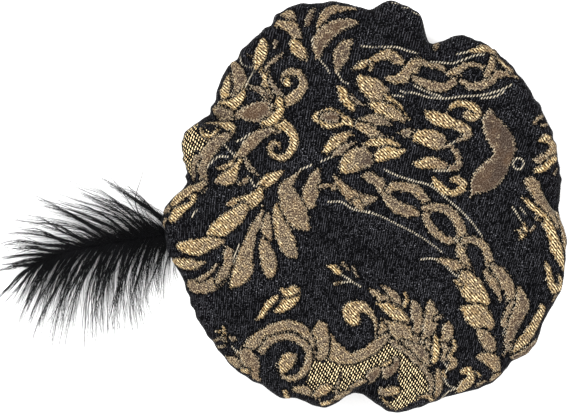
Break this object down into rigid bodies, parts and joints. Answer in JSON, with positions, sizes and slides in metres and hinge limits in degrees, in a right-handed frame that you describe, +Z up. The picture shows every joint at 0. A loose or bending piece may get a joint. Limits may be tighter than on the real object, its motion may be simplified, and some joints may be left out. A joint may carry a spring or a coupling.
{
  "type": "tudor flat cap with plume",
  "caption": "Soft round brocade crown gathered onto a plain headband, open below for the head, with a black plume lying out from under its left edge.",
  "frame": {"origin": "on the surface that the cap stands on, below the middle of the whole outline, plume included", "axes": "+Z up out of the crown, +X to the right away from the plume, +Y to the top of the picture"},
  "size_m": [0.4278, 0.3058, 0.0595],
  "materials": {
    "brocade": "black ribbed ground with bronze and gold woven scrolls and leaves",
    "band_cloth": "plain black cloth",
    "feather": "dyed black, soft sheen"
  },
  "bodies": {
    "root": {"crown": "brocade", "headband": "band_cloth", "plume": "feather", "quill_tab": "band_cloth"}
  },
  "joints": []
}
